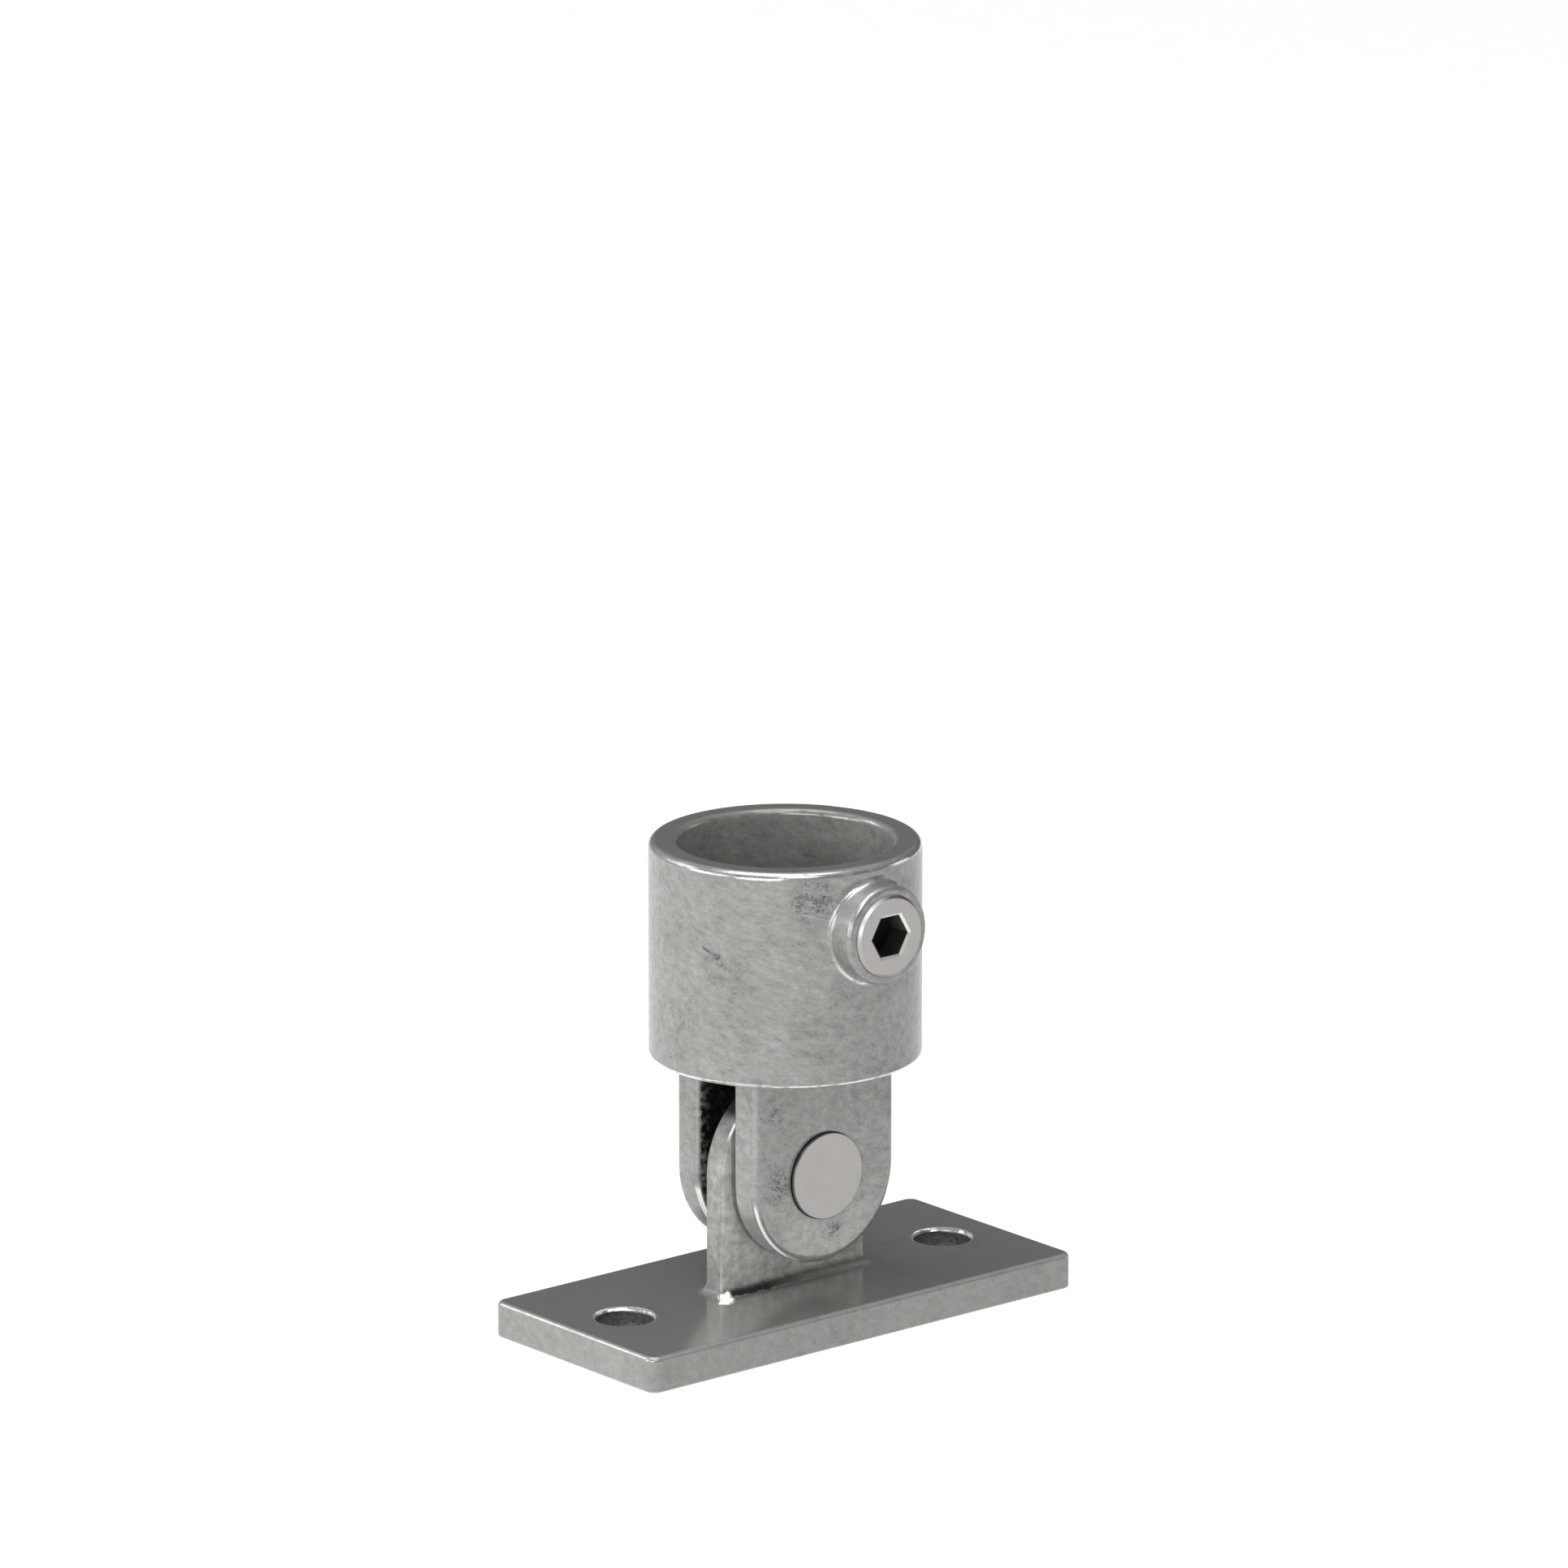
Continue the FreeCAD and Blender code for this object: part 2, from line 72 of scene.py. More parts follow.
# Node helpers
class Nodes:
    """Adds nodes to one material or world, and links them."""

    def __init__(self, owner):
        owner.use_nodes = True
        self.tree = owner.node_tree
        self.tree.nodes.clear()

    def add(self, kind, inputs=None, **settings):
        node = self.tree.nodes.new(kind)
        for name, setting in settings.items():
            setattr(node, name, setting)
        for name, content in (inputs or {}).items():
            if isinstance(content, bpy.types.NodeSocket):
                self.tree.links.new(content, node.inputs[name])
            else:
                node.inputs[name].default_value = content
        return node

    def math(self, operation, first, second=0.0, clamp=False):
        node = self.add("ShaderNodeMath", {0: first, 1: second}, operation=operation, use_clamp=clamp)
        return node.outputs[0]

    def minus(self, first, second):
        return self.math("SUBTRACT", first, second)

    def unsigned(self, number):
        return self.math("ABSOLUTE", number)

    def times(self, number, *factors):
        for factor in factors:
            number = self.math("MULTIPLY", number, factor)
        return number

    def most(self, number, *others):
        """The largest of the numbers."""
        for other in others:
            number = self.math("MAXIMUM", number, other)
        return number

    def total(self, *shares):
        """The sum of the numbers, each times its own factor."""
        amount = 0.0
        for number, factor in shares:
            amount = self.math("ADD", amount, self.times(number, factor))
        return amount

    def vector(self, operation, first, second=(0.0, 0.0, 0.0), output="Vector"):
        node = self.add("ShaderNodeVectorMath", {0: first, 1: second}, operation=operation)
        return node.outputs[output]

    def dot(self, first, second):
        return self.vector("DOT_PRODUCT", first, second, output="Value")

    def length(self, vector):
        return self.vector("LENGTH", vector, output="Value")

    def scaled(self, vector, factor):
        node = self.add("ShaderNodeVectorMath", {0: vector, "Scale": factor}, operation="SCALE")
        return node.outputs["Vector"]

    def parts(self, vector):
        """The X, Y and Z of a vector, by name."""
        outputs = self.add("ShaderNodeSeparateXYZ", {"Vector": vector}).outputs
        return {axis: outputs[axis] for axis in "XYZ"}

    def joined(self, **parts):
        """The vector of the given parts. A part that isn't given is 0."""
        return self.add("ShaderNodeCombineXYZ", parts).outputs[0]

    def noise(self, vector, scale, detail=2.0, roughness=0.5, distortion=0.0, output="Fac"):
        node = self.add("ShaderNodeTexNoise", {
            "Vector": vector, "Scale": scale, "Detail": detail,
            "Roughness": roughness, "Distortion": distortion,
        })
        return node.outputs[output]

    def spread(self, number, low, high, to_low=0.0, to_high=1.0):
        """The number, moved from the range low to high to the other range and kept within it."""
        node = self.add("ShaderNodeMapRange", {
            "Value": number, "From Min": low, "From Max": high, "To Min": to_low, "To Max": to_high,
        })
        return node.outputs["Result"]

    def band(self, number, low, full_low, full_high, high):
        """1 between full_low and full_high, falling to 0 at low and high."""
        return self.times(self.spread(number, low, full_low), self.spread(number, high, full_high))

    def mix(self, factor, first, second):
        """The first colour where the factor is 0, and the second where it is 1."""
        return self.add("ShaderNodeMix", {0: factor, 6: first, 7: second}, data_type="RGBA").outputs[2]

    def ramp(self, number, stops):
        node = self.add("ShaderNodeValToRGB", {"Fac": number})
        ramp = node.color_ramp
        while len(ramp.elements) < len(stops):
            ramp.elements.new(0.5)
        for element, (place, color) in zip(ramp.elements, stops):
            element.position = place
            element.color = color
        return node.outputs["Color"]


def grey(level, tint=(1.0, 1.0, 1.0)):
    return tuple(level * part for part in tint) + (1.0,)


# Galvanised iron
# Zinc over a casting: cloudy grey with a faint green cast, fine slanting grain, small pits and curls.
# Each mask is 1 where its mark is full and 0 where there is none. In the masks, places are in millimetres
# in the object's frame, and facing is the direction in which the surface looks.
STREAK = (0.643, -0.724, -0.250)
STREAK_PULL = 0.6
# The way that the normal is bent where a highlight is painted, so that it catches the lamps
GLINT_NORMAL = (-0.74, -0.64, 0.21)
ZINC_TINT = (0.985, 1.0, 0.945)
PALE_ZINC_TINT = (0.995, 1.0, 0.985)
# Where the painted star-shaped glint at the lug's foot lies, and how many arms it has
STAR_PLACE = (-19.7, -4.7, PLATE_TOP)
STAR_ARMS = 5.0


def leaning(nodes, normal, glint):
    """The normal, leaning to the painted highlight's own where the glint is 1."""
    lean = nodes.times(glint, 0.98)
    steady = nodes.scaled(normal, nodes.minus(1.0, lean))
    return nodes.vector("NORMALIZE", nodes.vector("ADD", steady, nodes.scaled(GLINT_NORMAL, lean)))


def off_axis(nodes, place, height):
    """How far a place is from the line along Y at a height."""
    return nodes.length(nodes.joined(X=place["X"], Y=nodes.minus(place["Z"], height)))


def upright_edge(nodes, facing, strength):
    """Mask for painted highlights on the rounds of upright edges on the -X side."""
    edge = nodes.band(nodes.unsigned(facing["Y"]), 0.3, 0.5, 0.75, 0.92)
    return nodes.times(edge, nodes.spread(facing["X"], -0.15, -0.35, 0.0, strength))


def painted_foot_glint(nodes, point):
    """Mask for a painted highlight: a ragged star-shaped glint in the corner of the lug's foot."""
    from_corner = nodes.vector("SUBTRACT", point, STAR_PLACE)
    aside = nodes.dot(from_corner, SIGHT_RIGHT)
    upward = nodes.dot(from_corner, SIGHT_UP)
    depth = nodes.dot(from_corner, SIGHT_AHEAD)
    reach = nodes.length(nodes.joined(X=aside, Y=upward))
    arms = nodes.math("COSINE", nodes.times(nodes.math("ARCTAN2", upward, aside), STAR_ARMS))
    ragged = nodes.total((arms, 0.22), (nodes.noise(point, 1.2), 1.1))
    star = nodes.spread(nodes.minus(reach, ragged), 1.3, 0.5)
    return nodes.times(star, nodes.spread(nodes.unsigned(depth), 3.4, 2.4))


def hole_masks(nodes, point, normal):
    """Masks for a painted highlight on the far lips of the bolt holes and for painted shade on the holes'
    walls.
    """
    place = nodes.parts(point)
    from_hole = nodes.minus(nodes.unsigned(place["X"]), BOLT_OFFSET)
    away = nodes.length(nodes.joined(X=from_hole, Y=place["Y"]))
    ring = nodes.spread(away, HOLE_RADIUS + 0.75, HOLE_RADIUS + 0.5)
    far_side = nodes.spread(nodes.dot(normal, SIGHT_BACK_LEVEL), 0.05, 0.3)
    highlight_breakup = nodes.spread(nodes.noise(point, 0.5), 0.35, 0.55, 0.35, 0.8)
    lip = nodes.times(ring, nodes.spread(place["Z"], 6.5, 6.75), far_side, highlight_breakup)
    within = nodes.spread(away, HOLE_RADIUS + 0.3, HOLE_RADIUS + 0.1)
    return lip, nodes.times(within, nodes.spread(place["Z"], 6.5, 6.35))


def lug_shade(nodes, point, facing):
    """Mask for painted shade on the lug: a dark line along its foot, the ear's shadow close to the ear, and
    shade on the crown's -X side.
    """
    place = nodes.parts(point)
    within = nodes.spread(nodes.unsigned(place["X"]), LUG_RADIUS + 0.5, LUG_RADIUS)
    front = nodes.times(nodes.spread(place["Y"], 0.1 - LUG_HALF_THICKNESS, -0.1 - LUG_HALF_THICKNESS), within)
    wave = nodes.math("ADD", place["Z"], nodes.times(nodes.noise(point, 0.6, detail=3.0), 0.8))
    line = nodes.times(nodes.band(wave, 7.80, 7.92, 8.45, 9.20), front)
    foot_shade_line = nodes.times(line, nodes.spread(place["Y"], -5.2, -4.6),
                       nodes.spread(place["X"], 2.0, -8.0, 0.15, 1.0))

    # The shade of the ear's round end lies a little to its +X side and below it
    below_pin = nodes.math("MINIMUM", nodes.minus(place["Z"], PIN_HEIGHT - 1.0), 0.0)
    from_ear = nodes.length(nodes.joined(X=nodes.minus(place["X"], 2.4), Y=below_pin))
    covered = nodes.times(nodes.spread(from_ear, EAR_RADIUS + 0.5, EAR_RADIUS + 0.05), front,
                          nodes.spread(place["Z"], 9.0, 9.9))
    crown = nodes.times(nodes.spread(facing["Z"], 0.3, 0.5), nodes.spread(place["Z"], 43.6, 45.0),
                        nodes.spread(place["X"], -8.5, -12.0, 0.15, 1.0))
    return nodes.most(foot_shade_line, covered, crown)


def plate_finish(nodes, point, normal):
    """Masks for the base plate and its lug, with painted highlights and painted shade, and how much lighter
    the lug's sides are painted to look lit.
    """
    place = nodes.parts(point)
    facing = nodes.parts(normal)
    slope = nodes.unsigned(facing["Z"])
    sideways = nodes.unsigned(facing["Y"])
    # Painted highlights along the plate's top edges and along the lug's upright edges near its foot
    top_edge = nodes.times(nodes.band(slope, 0.12, 0.3, 0.93, 0.99),
                           nodes.spread(place["Z"], PLATE_TOP + 0.02, PLATE_TOP - 0.02, 0.0, 0.4))
    foot_edge = nodes.times(upright_edge(nodes, facing, 0.45), nodes.band(place["Z"], 7.8, 8.8, 12.0, 24.0),
                            nodes.spread(place["X"], -25.0, -24.0))

    sides = nodes.spread(nodes.unsigned(place["Y"]), PLATE_HALF_WIDTH - 0.6, PLATE_HALF_WIDTH - 0.2)
    ends = nodes.spread(nodes.unsigned(place["X"]), PLATE_HALF_LENGTH - 0.6, PLATE_HALF_LENGTH - 0.2)
    calm = nodes.times(nodes.most(sides, ends), nodes.spread(slope, 0.6, 0.2, 0.0, 0.4))

    # Painted light: the lug's faces are made lighter and matt, most on their sides, less low down and on
    # upward faces
    pale = nodes.times(nodes.spread(slope, 0.95, 0.7), nodes.spread(place["Z"], 7.7, 8.6))
    gain = nodes.times(
        nodes.spread(sideways, 0.75, 0.98, 1.2, 2.3),
        nodes.spread(facing["Z"], 0.1, 0.7, 1.0, 0.5),
        nodes.spread(nodes.minus(place["Z"], sideways), 9.0, 24.0, 0.65, 1.0),
        nodes.spread(nodes.noise(point, 0.45, detail=3.0), 0.35, 0.65, 0.82, 1.15),
    )

    # Painted highlights on the holes' far lips and on the lug's arch edge, and painted shade in the holes
    lip, inside = hole_masks(nodes, point, normal)
    arch = nodes.times(
        nodes.band(sideways, 0.3, 0.45, 0.8, 0.92), nodes.band(place["Z"], 39.5, 41.2, 43.0, 44.2),
        nodes.spread(facing["X"], -0.15, -0.35, 0.0, 0.85), nodes.spread(facing["Y"], -0.1, -0.3),
    )
    return {
        "edge_highlight": nodes.most(top_edge, foot_edge), "glint": nodes.most(painted_foot_glint(nodes, point), lip, arch),
        "dark": lug_shade(nodes, point, facing), "inside": inside, "calm": calm,
        "pale": pale, "lit": pale, "gain": gain,
    }


def boss_edges(nodes, place, facing):
    """Mask for painted highlights on the foot and rim of the boss, on its -X side."""
    beyond = nodes.minus(off_axis(nodes, place, SCREW_HEIGHT), BOSS_RADIUS)
    foot_ring = nodes.band(beyond, -0.05, 0.1, 1.0, 1.5)
    rim_ring = nodes.band(beyond, -1.1, -0.8, -0.1, 0.1)
    foot = nodes.times(foot_ring, nodes.spread(facing["Y"], 0.0, -0.25))
    rim = nodes.times(rim_ring, nodes.spread(facing["Z"], 0.1, 0.35, 0.0, 0.8))
    left = nodes.times(nodes.spread(place["Y"], -23.0, -24.0), nodes.spread(facing["X"], -0.02, -0.25))
    sloped = nodes.times(nodes.spread(nodes.unsigned(facing["Z"]), 0.15, 0.45),
                         nodes.spread(facing["Z"], -0.2, 0.2, 0.9, 1.0))
    return nodes.times(left, sloped, nodes.most(foot, rim))


def socket_rims(nodes, place, facing):
    """Mask for painted highlights on the socket's outer rims. The mouth's stays plain on the left, as seen
    along the line of sight.
    """
    flat = nodes.joined(X=place["X"], Y=place["Y"])
    mouth = nodes.times(nodes.spread(place["Z"], SOCKET_TOP - 1.7, SOCKET_TOP - 1.5),
                        nodes.spread(nodes.dot(flat, SIGHT_RIGHT), -22.0, -18.0))
    ends = nodes.most(mouth, nodes.spread(place["Z"], SOCKET_BOTTOM + 1.25, SOCKET_BOTTOM + 1.05))
    outer = nodes.spread(nodes.length(flat), SOCKET_RADIUS - 1.7, SOCKET_RADIUS - 1.5)
    return nodes.times(nodes.band(nodes.unsigned(facing["Z"]), 0.12, 0.3, 0.95, 0.995), ends, outer)


def fork_finish(nodes, point, normal):
    """Masks for the socket, its boss and its ears, with painted highlights and painted shade, and how much
    lighter the front is painted low down.
    """
    place = nodes.parts(point)
    facing = nodes.parts(normal)
    sideways = nodes.unsigned(facing["Y"])
    ear_edge = nodes.times(
        upright_edge(nodes, facing, 0.2), nodes.band(place["Z"], 31.0, 36.0, 54.0, 56.0),
        nodes.spread(facing["Y"], -0.1, -0.3),
    )
    # Painted highlights on the ears' undersides, with painted shade beside them
    under = nodes.times(
        nodes.spread(facing["Z"], 0.0, -0.2), nodes.spread(place["Z"], 30.0, 28.0),
        nodes.spread(facing["X"], -0.2, -0.45, 0.0, 0.75),
    )
    crescent = nodes.band(sideways, 0.26, 0.40, 0.64, 0.78)
    inner = nodes.times(nodes.band(place["Y"], 6.1, 6.4, 6.8, 7.1), nodes.spread(sideways, 0.5, 0.3))
    return {
        "edge_highlight": nodes.most(socket_rims(nodes, place, facing), boss_edges(nodes, place, facing), ear_edge),
        "glint": nodes.times(under, nodes.most(crescent, inner)),
        "dark": nodes.times(under, nodes.band(sideways, 0.78, 0.84, 0.93, 0.98), 0.55),
        "inside": 0.0, "calm": 0.0, "pale": 0.0,
        # Painted light: the front is lighter low down
        "lit": nodes.times(nodes.spread(facing["Y"], -0.9, -0.98), nodes.spread(place["Z"], 33.0, 18.0)),
        "gain": 1.2,
    }


def hidden_mask(nodes, point, normal):
    """Mask for painted shade between the ears: dull, dark zinc, fainter on the front ear, with a few lighter
    specks at its -X edge.
    """
    place = nodes.parts(point)
    facing = nodes.parts(normal)
    inward = nodes.times(facing["Y"], nodes.math("SIGN", place["Y"]))
    specks = nodes.times(nodes.spread(place["X"], -15.0, -17.4),
                         nodes.spread(nodes.noise(point, 0.7, detail=4.0), 0.46, 0.62))
    return nodes.times(
        nodes.spread(inward, -0.6, -0.9), nodes.math("LESS_THAN", place["Z"], SOCKET_BOTTOM + 1.35),
        nodes.spread(place["Y"], -5.0, 0.0, 0.3, 1.0), nodes.spread(specks, 0.0, 1.0, 1.0, 0.45),
    )


def pit_mask(nodes, point, streaked, pit_spots, curls):
    """Mask for small dark pits and curls, gathered in a few spots and thinly elsewhere."""
    worm = nodes.noise(point, 0.95, roughness=0.6, distortion=1.2)
    line = nodes.spread(nodes.unsigned(nodes.minus(worm, 0.5)), 0.03, 0.09, 1.0, 0.0)
    broken = nodes.spread(nodes.noise(streaked, 0.7, detail=3.0, roughness=0.7), 0.44, 0.52)
    near = nodes.spread(nodes.noise(point, 0.07, detail=1.0), 0.64, 0.72, 0.0, 0.35)
    for centre, reach in pit_spots:
        away = nodes.vector("DISTANCE", point, centre, output="Value")
        near = nodes.most(near, nodes.spread(away, reach, reach * 0.5))
    pits = nodes.times(line, broken, near, 0.9)

    wave = nodes.vector("SUBTRACT", nodes.noise(point, 0.9, output="Color"), (0.5, 0.5, 0.5))
    waved = nodes.vector("ADD", point, nodes.scaled(wave, 0.8))
    for centre, size, side, cut in curls:
        away = nodes.vector("SUBTRACT", waved, centre)
        ring = nodes.spread(nodes.unsigned(nodes.minus(nodes.length(away), size)), 0.52, 0.20)
        curl = nodes.times(ring, nodes.spread(nodes.dot(away, side), cut, cut + 0.3))
        pits = nodes.most(pits, nodes.times(curl, nodes.spread(broken, 0.0, 1.0, 0.45, 0.95)))
    return pits


def zinc_layers(nodes, point, streaked):
    """The clouds, patches and grain of the zinc, and its colour before any mark."""
    clouds = nodes.noise(point, 0.09, detail=3.0)
    patches = nodes.noise(streaked, 0.65, detail=4.0, roughness=0.65, distortion=0.2)
    grain = nodes.noise(streaked, 2.6, roughness=0.6)
    sand = nodes.noise(point, 5.0, detail=1.0)
    crystals = nodes.add("ShaderNodeTexVoronoi", {"Vector": streaked, "Scale": 0.8, "Randomness": 1.0})
    crystal = nodes.add("ShaderNodeSeparateColor", {"Color": crystals.outputs["Color"]}).outputs[0]
    shade = nodes.total((clouds, 0.20), (patches, 0.46), (grain, 0.18), (sand, 0.12), (crystal, 0.04))
    color = nodes.ramp(shade, [
        (0.34, grey(0.26, ZINC_TINT)),
        (0.45, grey(0.41, ZINC_TINT)),
        (0.55, grey(0.50, ZINC_TINT)),
        (0.66, grey(0.62, PALE_ZINC_TINT)),
    ])
    return clouds, patches, grain, color


def marked_color(nodes, color, patches, grain, height, masks):
    """The colour after every mark. Later marks cover the ones before them."""
    color = nodes.mix(masks["level"], color, grey(0.60, ZINC_TINT))
    # Painted shade between the ears
    gloom = nodes.ramp(patches, [(0.45, grey(0.008)), (0.75, grey(0.05))])
    color = nodes.mix(masks["hidden"], color, gloom)
    color = nodes.mix(nodes.math("MULTIPLY", masks["pits"], 0.85, clamp=True), color, grey(0.08))
    # Painted light: lighter by the gain where the lit mask is
    color = nodes.mix(masks["lit"], color, nodes.scaled(color, masks["gain"]))
    color = nodes.mix(masks["calm"], color, grey(0.475, ZINC_TINT))
    # Painted shade in the bolt holes, darkest just under the rim
    hole_shade = nodes.ramp(grain, [(0.35, grey(0.16)), (0.65, grey(0.42))])
    color = nodes.mix(masks["inside"], color, nodes.scaled(hole_shade, nodes.spread(height, 6.4, 3.5, 0.45, 1.0)))
    # Painted shade
    color = nodes.mix(nodes.times(masks["dark"], 0.96), color, grey(0.04))
    # Painted highlights
    return nodes.mix(masks["bright"], color, grey(0.92))


def galvanised(name, pit_spots, curls, finish_rule):
    """The zinc of one casting, with the masks that its finish rule gives."""
    material = bpy.data.materials.new(name)
    nodes = Nodes(material)
    coordinates = nodes.add("ShaderNodeTexCoord")
    point = nodes.scaled(coordinates.outputs["Object"], 1 / MM)
    normal = coordinates.outputs["Normal"]
    place = nodes.parts(point)

    # The grain is pulled out along one slanting direction
    along = nodes.scaled(STREAK, nodes.dot(point, STREAK))
    streaked = nodes.vector("SUBTRACT", point, nodes.scaled(along, STREAK_PULL))
    clouds, patches, grain, color = zinc_layers(nodes, point, streaked)

    # The zinc runs smooth and even on level faces
    level = nodes.spread(nodes.unsigned(nodes.parts(normal)["Z"]), 0.75, 0.97, 0.0, 0.85)
    hidden = hidden_mask(nodes, point, normal)
    pits = pit_mask(nodes, point, streaked, pit_spots, curls)
    masks = finish_rule(nodes, point, normal)
    # Painted highlights on edges, broken up in patches, and painted glints
    highlight_breakup = nodes.spread(nodes.noise(point, 0.5, detail=3.0), 0.30, 0.50, 0.45, 1.0)
    bright = nodes.most(nodes.math("MULTIPLY", masks["edge_highlight"], highlight_breakup, clamp=True), masks["glint"])
    masks.update(level=level, hidden=hidden, pits=pits, bright=bright)
    color = marked_color(nodes, color, patches, grain, place["Z"], masks)

    smooth = nodes.spread(patches, 0.30, 0.70, 0.26, 0.18)
    rough = nodes.total((smooth, 1.0), (pits, 0.2), (masks["pale"], 0.25), (level, -0.07))
    dull = nodes.most(masks["pale"], hidden, masks["dark"])
    metal = nodes.most(nodes.total((0.32, 1.0), (dull, -0.28), (level, 0.42)), nodes.times(bright, 0.92))
    sheen = nodes.spread(nodes.most(hidden, masks["dark"]), 0.0, 1.0, 0.5, 0.05)
    height = nodes.total((clouds, 0.45), (patches, 0.16), (grain, 0.03), (pits, -0.16))
    bump = nodes.add("ShaderNodeBump", {"Height": height, "Strength": 0.4, "Distance": 0.22 * MM})
    shader = nodes.add("ShaderNodeBsdfPrincipled", {
        "Base Color": color, "Metallic": metal, "Roughness": rough, "Specular IOR Level": sheen,
        "Normal": leaning(nodes, bump.outputs["Normal"], masks["glint"]),
    })
    nodes.add("ShaderNodeOutputMaterial", {"Surface": shader.outputs[0]})
    return material


# Plain turned steel
STEEL_TINT = (1.0, 0.965, 0.925)
PALE_STEEL_TINT = (1.0, 0.965, 0.93)
EDGE_TINT = (1.0, 0.98, 0.96)
SHADE_TINT = (0.95, 1.0, 0.92)
# How far from the screw's axis the painted shade in the key socket reaches, and where on the Y axis it starts
KEY_REACH = 4.86
KEY_FRONT = SCREW_FACE + 0.46


def side_mask(nodes, facing):
    """Mask for every face but the flat ends."""
    return nodes.spread(nodes.unsigned(facing["Y"]), 0.97, 0.90)


def pin_side(nodes, color, place, facing):
    """The pin's side: painted shade, dark grey, and nearly black up to a line just outside the ear."""
    slant = side_mask(nodes, facing)
    behind = nodes.spread(nodes.unsigned(place["Y"]), EAR_OUTER + 0.38, EAR_OUTER + 0.18)
    color = nodes.mix(slant, color, grey(0.26))
    color = nodes.mix(nodes.times(slant, behind), color, grey(0.03))
    return color, 0.0, 0.0


def screw_side(nodes, color, place, facing):
    """The screw's slanting faces: pale and matt, with a painted highlight on the upper left and in the key
    socket's mouth, and painted shade deep inside.
    """
    slant = side_mask(nodes, facing)
    radius = off_axis(nodes, place, SCREW_HEIGHT)
    upper_left = nodes.times(nodes.spread(facing["Z"], 0.1, 0.35), nodes.spread(facing["X"], 0.0, -0.2))
    color = nodes.mix(nodes.times(slant, upper_left), color, grey(0.90))
    mouth = nodes.times(slant, nodes.spread(radius, KEY_REACH + 0.8, KEY_REACH + 0.5))
    glint = nodes.times(mouth, nodes.spread(facing["Z"], -0.1, -0.3, 0.0, 0.7))
    matt = nodes.most(nodes.minus(mouth, glint), nodes.spread(nodes.unsigned(facing["Y"]), 0.5, 0.3))
    color = nodes.mix(nodes.times(nodes.most(mouth, matt), 0.9), color, grey(0.80, EDGE_TINT))
    inside = nodes.spread(radius, KEY_REACH, KEY_REACH - 0.1)
    deep = nodes.spread(place["Y"], KEY_FRONT, KEY_FRONT + 0.15)
    color = nodes.mix(nodes.times(inside, deep), color, grey(0.035, SHADE_TINT))
    return color, matt, glint


def turned_steel(name, axis_height, side_rule):
    """Steel faced on a lathe about a line along Y. The side rule colours all but the end faces."""
    material = bpy.data.materials.new(name)
    nodes = Nodes(material)
    coordinates = nodes.add("ShaderNodeTexCoord")
    point = nodes.scaled(coordinates.outputs["Object"], 1 / MM)
    place = nodes.parts(point)
    radius = off_axis(nodes, place, axis_height)
    clouds = nodes.noise(point, 0.35, detail=4.0, roughness=0.6)
    ring_place = nodes.joined(X=nodes.times(radius, 9.0), Y=place["Y"])
    rings = nodes.noise(ring_place, 1.0, detail=3.0, roughness=0.7)
    color = nodes.ramp(nodes.total((clouds, 0.6), (rings, 0.4)), [
        (0.30, grey(0.435, STEEL_TINT)),
        (0.70, grey(0.48, PALE_STEEL_TINT)),
    ])
    color, matt, glint = side_rule(nodes, color, place, nodes.parts(coordinates.outputs["Normal"]))
    height = nodes.total((rings, 0.05), (clouds, 0.05))
    bump = nodes.add("ShaderNodeBump", {"Height": height, "Strength": 0.25, "Distance": 0.06 * MM})
    shader = nodes.add("ShaderNodeBsdfPrincipled", {
        "Base Color": color, "Metallic": nodes.minus(1.0, nodes.times(matt, 0.8)),
        "Roughness": nodes.spread(rings, 0.3, 0.7, 0.33, 0.42),
        "Normal": leaning(nodes, bump.outputs["Normal"], glint),
    })
    nodes.add("ShaderNodeOutputMaterial", {"Surface": shader.outputs[0]})
    return material


def dress(node, material):
    """Puts the material in every slot of a CAD node."""
    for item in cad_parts[node].material_slots:
        item.material = material


# Where the photo shows small marks: (millimetres in the object's frame, reach in millimetres)
FORK_MARKS = [
    ((-13.4, -24.2, 94.2), 5.8),
    ((-12.3, -12.6, 31.6), 4.2),
    ((1.8, -12.6, 20.2), 2.6),
    ((-12.6, -12.6, 47.0), 2.8),
]
# Curled marks: centre, radius, the side on which the curl is drawn, and where it is cut, in millimetres
FORK_CURLS = [
    ((-26.0, -9.4, 86.3), 3.95, (-0.12, 0.35, -0.93), 3.45),
    ((-26.0, -9.4, 82.0), 0.65, (0.16, -0.48, -0.85), -0.3),
    ((2.6, -12.6, 20.1), 0.60, (0.6, 0.0, -0.8), 0.1),
]
dress("fork_socket", galvanised("zinc_fork", FORK_MARKS, FORK_CURLS, fork_finish))
dress("base_plate", galvanised("zinc_plate", [], [], plate_finish))
dress("hinge_pin", turned_steel("steel_pin", PIN_HEIGHT, pin_side))


# Meshes and objects
def finished_mesh(name, mesh):
    data = bpy.data.meshes.new(name)
    mesh.to_mesh(data)
    mesh.free()
    return data


def add_object(name, data):
    item = bpy.data.objects.new(name, data)
    bpy.context.collection.objects.link(item)
    return item


# Threaded set screw
# Rings of points around the screw's axis, from the cup point to the key socket. Sizes in millimetres.
SIDES = 96
SCREW_RADIUS = 8.33
THREAD_PITCH = 1.337
THREAD_DEPTH = 0.80
THREAD_START = 1.3
THREAD_END = 9.6
